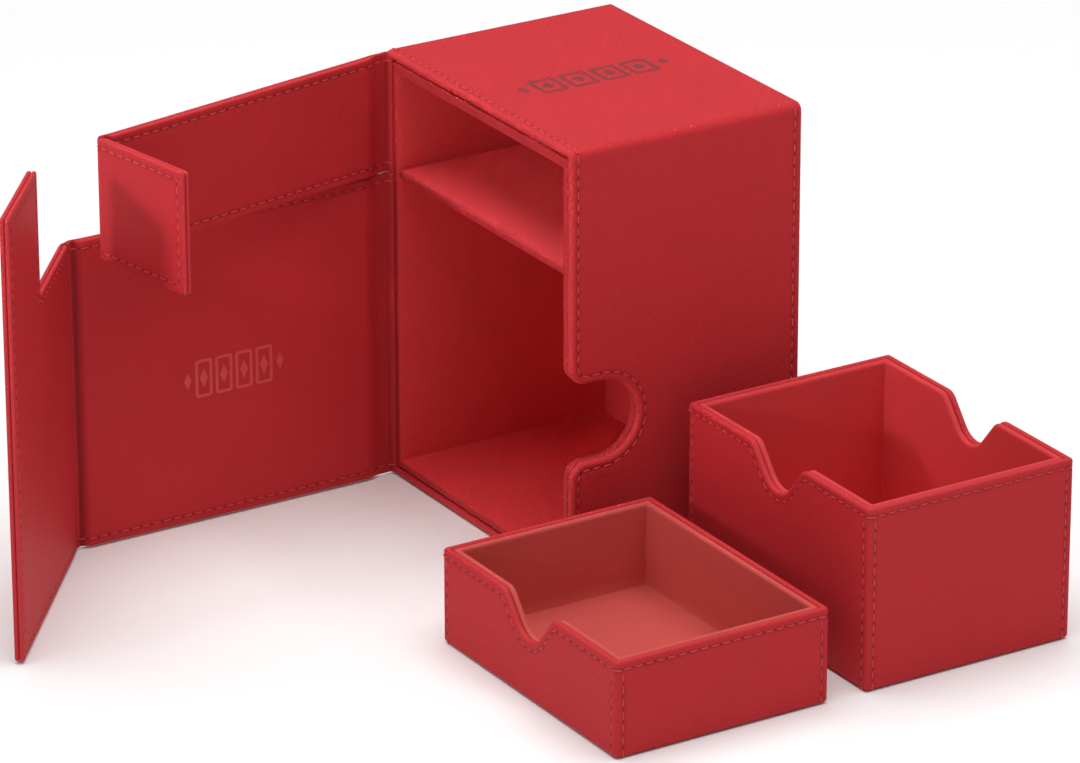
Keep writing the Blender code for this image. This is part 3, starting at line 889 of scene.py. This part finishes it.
# %% [markdown]
# A lid is two sheets glued over a board. Both sheets have a round edge, so a fine groove runs round
# the lid between them. Towards the box and towards the fold the board stops and the two sheets come
# together: that is the hinge. In the flat layout x goes through the lid from its outside, y runs
# from the hinge line outwards (negative), and z is up.

# %% Lid profile
LID_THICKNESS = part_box("lower_lid_lining")[1].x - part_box("lower_lid_cover")[0].x
HINGE_REACH = 3.4 * MM
LID_LENGTH = 113.0 * MM
FOLD_LINE = LID_LENGTH + HINGE_REACH
HINGE_SHEETS = 1.5 * MM
BOX_STEP = CASE_OUTSIDE - HINGE_SHEETS - 0.1 * MM
SHEET_JOIN = LID_THICKNESS / 2
JOIN_GAP = 0.02 * MM


def smooth(value):
    value = np.clip(value, 0, 1)
    return value * value * (3 - 2 * value)


def lid_height(y):
    from_box = smooth((-y - 0.8 * MM) / (6.4 * MM))
    from_fold = smooth((y + LID_LENGTH) / (3.2 * MM))
    step = BOX_STEP * smooth((y - HINGE_REACH + 0.8 * MM) / (0.9 * MM))
    return HINGE_SHEETS + step + (LID_THICKNESS - HINGE_SHEETS) * np.minimum(from_box, from_fold)


def tight_flap_height(y):
    return HINGE_SHEETS + (LID_THICKNESS - HINGE_SHEETS) * smooth((-y - 0.9 * MM) / (2.8 * MM))


def flap_height(y):
    return tight_flap_height(y) + 0.9 * MM * np.exp(-((y - 1.0 * MM) / (1.0 * MM)) ** 2)


def lid_groove(y):
    return 0.5 * MM * np.exp(-(y / (1.7 * MM)) ** 2)


def crease_shade(item, creases):
    """Adds painted shade for the pressed creases, which run up the sheet at these places, to the seam mask."""
    y = places_of(item)[:, 1]
    seam = np.empty(len(y), np.float32)
    item.data.attributes["seam"].data.foreach_get("value", seam)
    for place, width, strength in creases:
        seam = np.maximum(seam, strength * np.exp(-((y - place * MM) / (width * MM)) ** 2))
    item.data.attributes["seam"].data.foreach_set("value", seam.astype(np.float32))


# painted shade in the fold creases: place, width and strength of the darkening, in mm
FOLD_CREASE_SHADE = [(3.7, 1.0, 1.8), (-1.2, 1.1, 1.6)]


def thin_out(places, height, groove):
    x, y, z = places.T
    tall, dent = height(y), groove(y)
    inside = dent + np.clip(x, 0, LID_THICKNESS) * (tall - dent) / LID_THICKNESS
    return np.stack([inside + np.minimum(x, 0) + np.maximum(x - LID_THICKNESS, 0), y, z], 1)


def fold_round(places, angle, reach=HINGE_REACH):
    """Bends the flat layout round the hinge line: straight, an arc over the hinge, straight again."""
    if angle < 1e-6:
        return places
    x, y, z = places.T
    radius = reach / tan(angle / 2)
    bend = np.clip((reach - y) / (2 * reach), 0, 1) * angle
    before = np.maximum(y - reach, 0)
    beyond = np.maximum(-reach - y, 0)
    new_x = radius - (radius - x) * np.cos(bend) + beyond * sin(angle)
    new_y = reach - (radius - x) * np.sin(bend) - beyond * cos(angle) + before
    return np.stack([new_x, new_y, z], 1)


print("lid thickness, mm:", round(LID_THICKNESS / MM, 2))

# %% [markdown]
# A straight stretch of lid or hinge is one cross-section moved along y. The section runs up the face
# that shows, over the top edge, down the hidden side and round the bottom edge. It has more points
# near the two rows of stitches, where the sheet is pressed.

# %% Lid section and sweep
FACE_OFFSETS = [1.25, 1.6, 1.9, 2.15, 2.4, 2.7, 3.0, 3.25, 3.6, 4.2, 5.2]


def sheet_section(low, high, shown, hidden):
    radius = abs(hidden - shown) / 2
    way = 1 if hidden > shown else -1
    offsets = [o * MM for o in FACE_OFFSETS]
    middle = np.linspace(low + offsets[-1], high - offsets[-1], 8)[1:-1]
    rises = [low + radius] + [low + o for o in offsets] + list(middle)
    rises += [high - o for o in reversed(offsets)]
    section = [(shown, z, 0.0) for z in rises]
    for k in range(9):
        angle = pi * k / 8
        across = shown + way * radius * (1 - cos(angle))
        section.append((across, high - radius + radius * sin(angle), sin(angle)))
    for k in range(8):
        angle = pi * k / 8
        across = hidden - way * radius * (1 - cos(angle))
        section.append((across, low + radius - radius * sin(angle), sin(angle)))
    return section


def sweep_sheet(name, section, start, end, step, material):
    count = max(2, round(abs(end - start) / step))
    rings = [[(x, start + (end - start) * k / count, z) for x, z, _ in section]
             for k in range(count + 1)]
    mesh_rims = np.tile([rim for _, _, rim in section], count + 1)
    item = skin_rings(name, rings, [0.0] * (count + 1), material)
    item.data.attributes["rim"].data.foreach_set("value", mesh_rims.astype(np.float32))
    return item


LAYERS = {"outside": (0.0, SHEET_JOIN - JOIN_GAP, leatherette, "leatherette"),
          "inside": (LID_THICKNESS, SHEET_JOIN + JOIN_GAP, lid_sheet, "lining")}
print("points in one sheet section:", len(sheet_section(0, 0.1, *LAYERS["outside"][:2])))

# %% [markdown]
# Each lid is made flat, pressed, and only then thinned at the hinge and turned to where it rests. The sheets
# over the hinge are pieces of their own, bent round the hinge line to the lid's resting turn. The stitches run
# over the hinge and are bent with it.

# %% Make a lid
HINGE_END = 8.0 * MM
HINGE_STEP = 0.3 * MM
FOLD_STEP = 0.4 * MM
# painted shade in the hinge crease: place, width and strength of the darkening, in mm
HINGE_CREASE_SHADE = [(2.5, 0.8, 1.0), (0.0, 2.5, 0.5)]
UPPER_LID_HANG = 0.55 * MM
FOLD_END = 5.0 * MM
BOX_TUCK = {"outside": HINGE_REACH + SHELL_WALL / 2, "inside": HINGE_REACH + 0.7 * MM}


class Lid:
    def __init__(self, name, flap, turn, fold, fold_reach, fold_height):
        cover_low, cover_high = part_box(name + "_cover")
        self.name, self.flap = name, flap
        self.fold_reach, self.fold_height = fold_reach, fold_height
        self.turn, self.fold = radians(turn), radians(fold)
        self.low, self.high = cover_low.z, cover_high.z
        self.hang = UPPER_LID_HANG if self.low > 50 * MM else 0.0
        self.axis = np.array([left, front - HINGE_REACH, 0.0])

    def lid_to_rest(self, places):
        return fold_round(thin_out(places, lid_height, lid_groove), self.turn) + self.axis

    def flap_to_rest(self, places):
        bent = fold_round(thin_out(places, self.fold_height, lid_groove), self.fold, self.fold_reach)
        return fold_round(bent - np.array([0, FOLD_LINE, 0]), self.turn) + self.axis

    def rest_point(self, to_rest, y):
        return Vector(to_rest(np.array([[SHEET_JOIN, y, (self.low + self.high) / 2]]))[0])

    def blend(self, item, bodies, to_rest):
        self.rest_point(to_rest, HINGE_REACH)
        self.rest_point(to_rest, -HINGE_REACH)
        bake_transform(item)


def rows_on_both_faces(points):
    """The same line of stitches shows on the outside and on the inside."""
    flat = [(0.0, y, z) for y, z in points]
    return [Row(flat, (-1, 0, 0)), Row([(LID_THICKNESS, y, z) for _, y, z in flat], (1, 0, 0))]


def make_lid(lid):
    rows = []
    for height in (lid.low + ROW_INSET, lid.high - ROW_INSET):
        rows += rows_on_both_faces([(HINGE_REACH - 0.6 * MM, height), (-LID_LENGTH, height)])
    for layer, (shown, hidden, material, slot) in LAYERS.items():
        section = sheet_section(lid.low, lid.high, shown, hidden)
        panel = sweep_sheet(lid.name + "_" + layer, section, -HINGE_END, -LID_LENGTH, STEP, material)
        hinge = sweep_sheet(lid.name + "_hinge_" + layer, section, BOX_TUCK[layer], -HINGE_END,
                            HINGE_STEP, material)
        for item in (panel, hinge):
            press(item, rows)
            # the inside sheet gets painted shade in its hinge and fold creases
            if layer == "inside":
                crease_shade(item, HINGE_CREASE_SHADE)
                crease_shade(item, [(place - FOLD_LINE / MM, *rest) for place, *rest in FOLD_CREASE_SHADE])
            places = places_of(item)
            near_box = smooth((places[:, 1] + 9 * MM) / (6 * MM))
            places[:, 2] -= lid.hang * near_box * smooth(1 - (places[:, 2] - lid.low) / (20 * MM))
            set_places(item, places)
            set_places(item, lid.lid_to_rest(places_of(item)))
        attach(panel, lid.name)
        lid.blend(hinge, ("box", lid.name), lid.lid_to_rest)
        if layer == "outside":
            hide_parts(lid.name + "_cover", lid.name + "_board")
            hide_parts(lid.name + "_hinge_strip")
        else:
            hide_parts(lid.name + "_lining")
    stitches = sew(lid.name + "_stitches", rows)
    set_places(stitches, lid.lid_to_rest(places_of(stitches)))
    lid.blend(stitches, ("box", lid.name), lid.lid_to_rest)
    print(lid.name, "from", round(lid.low / MM, 1), "to", round(lid.high / MM, 1), "mm high")


upper_lid = Lid("upper_lid", "upper_flap", 10.4, 90.0, 2.2 * MM, tight_flap_height)
lower_lid = Lid("lower_lid", "lower_flap", 0.0, 51.0, HINGE_REACH, flap_height)
for lid in (upper_lid, lower_lid):
    make_lid(lid)

# %% [markdown]
# A flap is the end of its lid, folded round the side of the box. Its outline is a rectangle, and on
# the lower lid it has a tall tab. The outline is built as a slab, cut off square at the fold, and a
# short swept stretch joins it to the lid over the fold.

# %% Make a flap
FLAP_FLATS = [5.2, 4.2, 3.6, 3.25, 3.0, 2.7, 2.4, 2.15, 1.9, 1.6, 1.25]
FLAP_OVERRUN = HINGE_REACH + ROW_INSET
CUT_CORNER = 1.2 * MM


def cut_square(item, y):
    """Cuts off what lies beyond y and closes the cut."""
    builder = bmesh.new()
    builder.from_mesh(item.data)
    parts = builder.verts[:] + builder.edges[:] + builder.faces[:]
    cut = bmesh.ops.bisect_plane(builder, geom=parts, plane_co=(0, y, 0), plane_no=(0, 1, 0),
                                 clear_outer=True)
    edges = [part for part in cut["geom_cut"] if isinstance(part, bmesh.types.BMEdge)]
    bmesh.ops.holes_fill(builder, edges=edges, sides=0)
    builder.to_mesh(item.data)
    builder.free()


def make_flap(lid, corners, low_end):
    """Corners are (y, z, radius), anticlockwise from the inside; low_end is the height at the fold."""
    counts = outline_counts(corners, True, STEP)
    ring = parallel_outline(corners, ROW_INSET, True, counts)
    near = max(y for y, _ in ring)
    ends = [i for i, (y, _) in enumerate(ring) if y > near - 0.2 * MM]
    kept = [i for i, (y, _) in enumerate(ring) if y <= near - 0.2 * MM]
    first = next(i for i in kept if (i - 1) % len(ring) in ends)
    line = [ring[(first + i) % len(ring)] for i in range(len(kept))]
    rows = rows_on_both_faces(line)
    for layer, (shown, hidden, material, slot) in LAYERS.items():
        outward = layer == "outside"
        panel = slab(lid.flap + "_" + layer, corners, min(shown, hidden), max(shown, hidden),
                     FLAP_FLATS if outward else [1.5], [1.5] if outward else FLAP_FLATS,
                     lambda y, z, x: (x, y, z), material)
        cut_square(panel, -FOLD_END)
        section = sheet_section(lid.low, low_end, shown, hidden)
        fold = sweep_sheet(lid.flap + "_fold_" + layer, section, HINGE_REACH, -FOLD_END, FOLD_STEP,
                           material)
        for item in (panel, fold):
            press(item, rows)
            # the inside sheet gets painted shade in its fold creases
            if not outward:
                crease_shade(item, FOLD_CREASE_SHADE)
            item.data.set_sharp_from_angle(angle=radians(40))
            set_places(item, lid.flap_to_rest(places_of(item)))
        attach(panel, lid.flap)
        lid.blend(fold, (lid.name, lid.flap), lid.flap_to_rest)
        if outward:
            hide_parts(lid.flap + "_cover", lid.flap + "_board")
            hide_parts(lid.flap + "_hinge_strip")
        else:
            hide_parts(lid.flap + "_lining")
    stitches = sew(lid.flap + "_stitches", rows)
    set_places(stitches, lid.flap_to_rest(places_of(stitches)))
    lid.blend(stitches, (lid.name, lid.flap), lid.flap_to_rest)


UPPER_FLAP_LENGTH = 43.7 * MM
LOWER_FLAP_LENGTH = 88.5 * MM
TAB_START = 45.6 * MM
TAB_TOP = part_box("lower_flap_cover")[1].z
make_flap(upper_lid, [
    (-UPPER_FLAP_LENGTH, upper_lid.low, CUT_CORNER), (FLAP_OVERRUN, upper_lid.low, 0.0),
    (FLAP_OVERRUN, upper_lid.high, 0.0), (-UPPER_FLAP_LENGTH, upper_lid.high, CUT_CORNER)],
    upper_lid.high)
make_flap(lower_lid, [
    (-LOWER_FLAP_LENGTH, lower_lid.low, CUT_CORNER), (FLAP_OVERRUN, lower_lid.low, 0.0),
    (FLAP_OVERRUN, lower_lid.high, 0.0), (-TAB_START, lower_lid.high, 0.8 * MM),
    (-TAB_START, TAB_TOP, CUT_CORNER), (-LOWER_FLAP_LENGTH, TAB_TOP, CUT_CORNER)], lower_lid.high)
print("flaps made; tab is", round((TAB_TOP - lower_lid.high) / MM, 1), "mm above the lid")

# %% [markdown]
# A tray is a small open box of the same kind, with its opening upwards. Its wall has two sheets, one
# wrapped outside and one lining, and both are rolled over the rim, so the rim is a double bead with a
# groove between. The thumb notches are shallow dips with slanted flanks.

# %% Make a tray
TRAY_STEP = 0.5 * MM
TRAY_CORNER = 1.4 * MM
TRAY_SPLIT = 2.25 * MM
TRAY_WALL = 4.4 * MM
RIM_GAP = 0.03 * MM
FLOOR_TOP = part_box("card_tray_lining")[0].z + 0.6 * MM
NOTCH_SHOULDER_CENTRE = 16.4 * MM
NOTCH_DEPTH = 12.2 * MM
TRAY_NOTCH_SHOULDER = 5.0 * MM
TRAY_NOTCH_BOTTOM = 8.5 * MM


def tray_notch(middle):
    """Corner points of a dip whose flanks touch the shoulder arcs and the bottom arc."""
    rise = NOTCH_DEPTH - TRAY_NOTCH_BOTTOM
    fall = TRAY_NOTCH_SHOULDER - rise
    reach = (TRAY_NOTCH_SHOULDER + TRAY_NOTCH_BOTTOM) / np.hypot(NOTCH_SHOULDER_CENTRE, fall)
    slope = atan2(fall, NOTCH_SHOULDER_CENTRE) + acos(reach)
    slope = pi / 2 - slope
    lip = NOTCH_SHOULDER_CENTRE - TRAY_NOTCH_SHOULDER * tan(slope / 2)
    deepest = rise + TRAY_NOTCH_BOTTOM / cos(slope)
    return [(middle - lip, 0, TRAY_NOTCH_SHOULDER), (middle, deepest, TRAY_NOTCH_BOTTOM),
            (middle + lip, 0, TRAY_NOTCH_SHOULDER)]


TRAY_ROW_INSETS = [6.0, 5.0, 4.2, 3.7, 3.3, 3.0, 2.7, 2.4, 2.1, 1.8, 1.5, 1.3]


def make_tray(name, notched, felt, twill_turn):
    low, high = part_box(name + "_wrap")
    height = high.z
    middle = (high.x - low.x) / 2
    tray = OpenBox((low.x, low.y), (high.x, high.y), height, TRAY_CORNER,
                   lambda point, deep: (point[0], point[1], height - deep),
                   {wall: tray_notch(middle) for wall in notched}, TRAY_STEP)
    edge = 0.8 * MM
    rings = []
    for k in range(5):
        angle = pi / 2 * k / 4
        rings.append(tray.ring(0, edge * (1 - sin(angle)), height - 0.5 * MM - edge * (1 - cos(angle))))
    rings += [tray.ring(0, 0, height - inset * MM) for inset in (1.7, 2.1, 2.4, 2.7, 3.0, 3.3, 3.8)]
    rims = [0.4 * sin(pi * k / 5) for k in range(5)] + [0.0] * 7
    rim_rings = [tray.ring(inset * MM, 0) for inset in TRAY_ROW_INSETS]
    rows_between = max(4, round((height - 24 * MM) / (0.9 * MM)))
    rings += between(rings[-1], rim_rings[0], rows_between) + rim_rings
    rims += [0.0] * (rows_between - 1 + len(rim_rings))
    roll = tray.rolled(0, 0, TRAY_SPLIT - RIM_GAP)
    rings += roll + [tray.ring(0, TRAY_SPLIT - RIM_GAP, height - 1.0 * MM)]
    rims += rolled_rims(len(roll)) + [0.0]
    wrap = skin_rings(name + "_outside", rings, rims, leatherette, turn=twill_turn)

    line = tray.stations(ROW_INSET, 0)
    rows = [Row([tray.to_space(s[3], s[2]) for s in line], [(s[4][0], s[4][1], 0) for s in line],
                closed=True)]
    for x, side in ((low.x, -1), (high.x, 1)):
        for y, face in ((low.y, -1), (high.y, 1)):
            ends = (height - ROW_INSET - 2.6 * MM, 1.6 * MM)
            rows.append(Row([(x, y - face * 2.6 * MM, z) for z in ends], (side, 0, 0)))
            rows.append(Row([(x - side * 2.6 * MM, y, z) for z in ends], (0, face, 0)))
    press(wrap, rows)
    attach(wrap, name)
    boards = ["%s_%s_board" % (name, side) for side in ("front", "back", "left", "right")]
    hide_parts(name + "_wrap", *boards)
    stitches = sew(name + "_stitches", rows)
    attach(stitches, name)

    floor = height - FLOOR_TOP
    rings = [tray.ring(0, TRAY_SPLIT + RIM_GAP, height - 1.0 * MM),
             tray.ring(3.2 * MM, TRAY_SPLIT + RIM_GAP)]
    roll = tray.rolled(0.15 * MM, TRAY_SPLIT + RIM_GAP, TRAY_WALL)
    inner = [tray.ring(inset * MM, TRAY_WALL) for inset in (1.8, 3.0, 5.0)]
    last = [tray.ring(0, TRAY_WALL, floor - 0.8 * MM), tray.ring(0, TRAY_WALL + 0.25 * MM, floor - 0.25 * MM),
            tray.ring(0, TRAY_WALL + 0.8 * MM, floor)]
    rings += roll + inner + between(inner[-1], last[0], 6) + last
    rims = [0.0, 0.0] + rolled_rims(len(roll)) + [0.0] * (3 + 5 + 3)
    lining = skin_rings(name + "_inside", rings, rims, felt)
    store(lining, "seam", np.zeros(len(lining.data.vertices)))
    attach(lining, name)
    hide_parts(name + "_lining", name + "_floor_board")

    inset, corner = 0.9 * MM, 1.0 * MM
    base = slab(name + "_base", [
        (low.x + inset, low.y + inset, corner), (high.x - inset, low.y + inset, corner),
        (high.x - inset, high.y - inset, corner), (low.x + inset, high.y - inset, corner)],
        0.0, 0.9 * MM, [3.0], [1.0], lambda a, b, rise: (a, b, rise), leatherette, step=1.5 * MM)
    store(base, "seam", np.zeros(len(base.data.vertices)))
    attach(base, name)
    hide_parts(name + "_base_cover")
    print(name, "outside has", len(wrap.data.polygons), "faces")


make_tray("accessory_tray", (0,), warm_felt, 0.0)
make_tray("card_tray", (0, 2), tray_felt, radians(20))

# %% [markdown]
# The maker marks the top with dark foil and the inside of the lower lid with a clear shine. Both are
# thin films pressed on to the sheet. Here they show plain outlines of cards between small diamonds.

# %% Stamped marks
FILM = 0.05 * MM


def film(name, shapes, to_space, material):
    """Each shape is an outline, or an outline with a second one inside it that stays open."""
    vertices, faces = [], []
    for outer, inner in shapes:
        count, first = len(outer), len(vertices)
        for lift in (FILM, -FILM):
            vertices += [to_space(a, b, lift) for a, b in outer + (inner or [])]
        low = first + count * (2 if inner else 1)
        for i in range(count):
            j = (i + 1) % count
            faces.append((first + i, low + i, low + j, first + j))
            if inner:
                faces.append((first + count + i, first + i, first + j, first + count + j))
                faces.append((low + i, low + count + i, low + count + j, low + j))
                faces.append((low + count + i, first + count + i, first + count + j, low + count + j))
        if not inner:
            faces.append(tuple(range(first, first + count)))
            faces.append(tuple(range(low, low + count))[::-1])
    mesh = bpy.data.meshes.new(name)
    mesh.from_pydata(vertices, [], faces)
    item = new_object(name, mesh, material)
    finish_mesh(item)
    return item


def card_shape(middle, width, tall, line, radius=1.0 * MM):
    corners = [(middle - width / 2, -tall / 2, radius), (middle + width / 2, -tall / 2, radius),
               (middle + width / 2, tall / 2, radius), (middle - width / 2, tall / 2, radius)]
    counts = outline_counts(corners, True, 4 * MM)
    return parallel_outline(corners, 0, True, counts), parallel_outline(corners, line, True, counts)


def diamond(middle, width, tall):
    return [(middle - width / 2, 0), (middle, -tall / 2), (middle + width / 2, 0), (middle, tall / 2)], None


def mark_shapes(width, tall, line):
    step = width / 5
    shapes = [card_shape((k - 1.5) * step, step * 0.84, tall, line) for k in range(4)]
    shapes += [diamond((k - 1.5) * step, step * 0.40, tall * 0.5) for k in range(4)]
    shapes += [diamond(side * width * 0.46, width * 0.07, tall * 0.45) for side in (-1, 1)]
    return shapes


TOP_MARK_PLACE = (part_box("shell_cover_top")[0].x + 56.0 * MM, 0.5 * MM)
top_mark = film("top_mark", mark_shapes(57 * MM, 12 * MM, 1.5 * MM),
                lambda a, b, lift: (TOP_MARK_PLACE[0] - b, TOP_MARK_PLACE[1] + a, top + lift), stamp_foil)
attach(top_mark, "box")
LID_MARK_PLACE = (front - HINGE_REACH - 56.5 * MM, 50 * MM)
lid_mark = film("lid_mark", mark_shapes(37 * MM, 13 * MM, 1.0 * MM),
                lambda a, b, lift: (left + LID_THICKNESS + lift, LID_MARK_PLACE[0] + a, LID_MARK_PLACE[1] + b),
                clear_shine)
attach(lid_mark, "lower_lid")
print("marks:", top_mark.name, lid_mark.name)

# %% [markdown]
# The magnets sit inside the boards, out of sight. They keep their CAD shape and get their own
# plating, as does anything else of the CAD model that still shows.

# %% CAD nodes that stay
for node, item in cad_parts.items():
    if not item.hide_render:
        for place in item.material_slots:
            place.material = steel
        print("kept from the CAD model:", node)

# %% [markdown]
# The box stands on a plain pale floor. One large soft lamp above makes the tops the brightest, a
# weaker one in front lifts the sides, and a small one with a narrow beam lights the compartments.

# %% Floor and light
floor_mesh = bpy.data.meshes.new("floor")
FLOOR_REACH = 3.0
floor_mesh.from_pydata([(x, y, -0.0002) for x, y in (
    (-FLOOR_REACH, -FLOOR_REACH), (FLOOR_REACH, -FLOOR_REACH),
    (FLOOR_REACH, FLOOR_REACH), (-FLOOR_REACH, FLOOR_REACH))], [], [(0, 1, 2, 3)])
floor_paint = bpy.data.materials.new("floor_paint")
floor_paint.use_nodes = True
floor_paint.node_tree.nodes["Principled BSDF"].inputs["Base Color"].default_value = (0.95, 0.95, 0.95, 1)
floor_paint.node_tree.nodes["Principled BSDF"].inputs["Roughness"].default_value = 0.9
floor = new_object("floor", floor_mesh, floor_paint)
floor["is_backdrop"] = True


def add_lamp(name, place, target, size, power, beam=180):
    lamp = bpy.data.objects.new(name, bpy.data.lights.new(name, "AREA"))
    lamp.data.shape = "SQUARE"
    lamp.data.size = size
    lamp.data.energy = power
    lamp.data.spread = radians(beam)
    lamp.location = place
    lamp.rotation_mode = "QUATERNION"
    lamp.rotation_quaternion = (Vector(target) - Vector(place)).to_track_quat("-Z", "Y")
    bpy.context.scene.collection.objects.link(lamp)


add_lamp("lamp_above", (0.10, -0.05, 1.90), (0.05, -0.05, 0.05), 2.0, 37.0)
add_lamp("lamp_low", (0.22, -1.00, 0.46), (0.0, 0.0, 0.125), 0.20, 0.050, beam=10)
add_lamp("lamp_front", (0.05, -1.60, 1.00), (0.0, 0.0, 0.06), 1.0, 2.5)
world = bpy.data.worlds.new("studio")
bpy.context.scene.world = world
world.use_nodes = True
world.node_tree.nodes["Background"].inputs["Color"].default_value = (1.0, 1.0, 1.0, 1)
world.node_tree.nodes["Background"].inputs["Strength"].default_value = 0.35
bpy.context.scene.view_settings.view_transform = "Standard"

# %% [markdown]
# Last, the size of the finished model is written next to the size of the CAD model, so that the two
# can be compared.

# %% Sizes and finish
bpy.context.view_layer.update()
visual_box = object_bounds()
growth = [[round((b - a) / MM, 2) for a, b in zip(c, v)] for c, v in zip(cad_box, visual_box)]
print("grows by, mm:", growth)
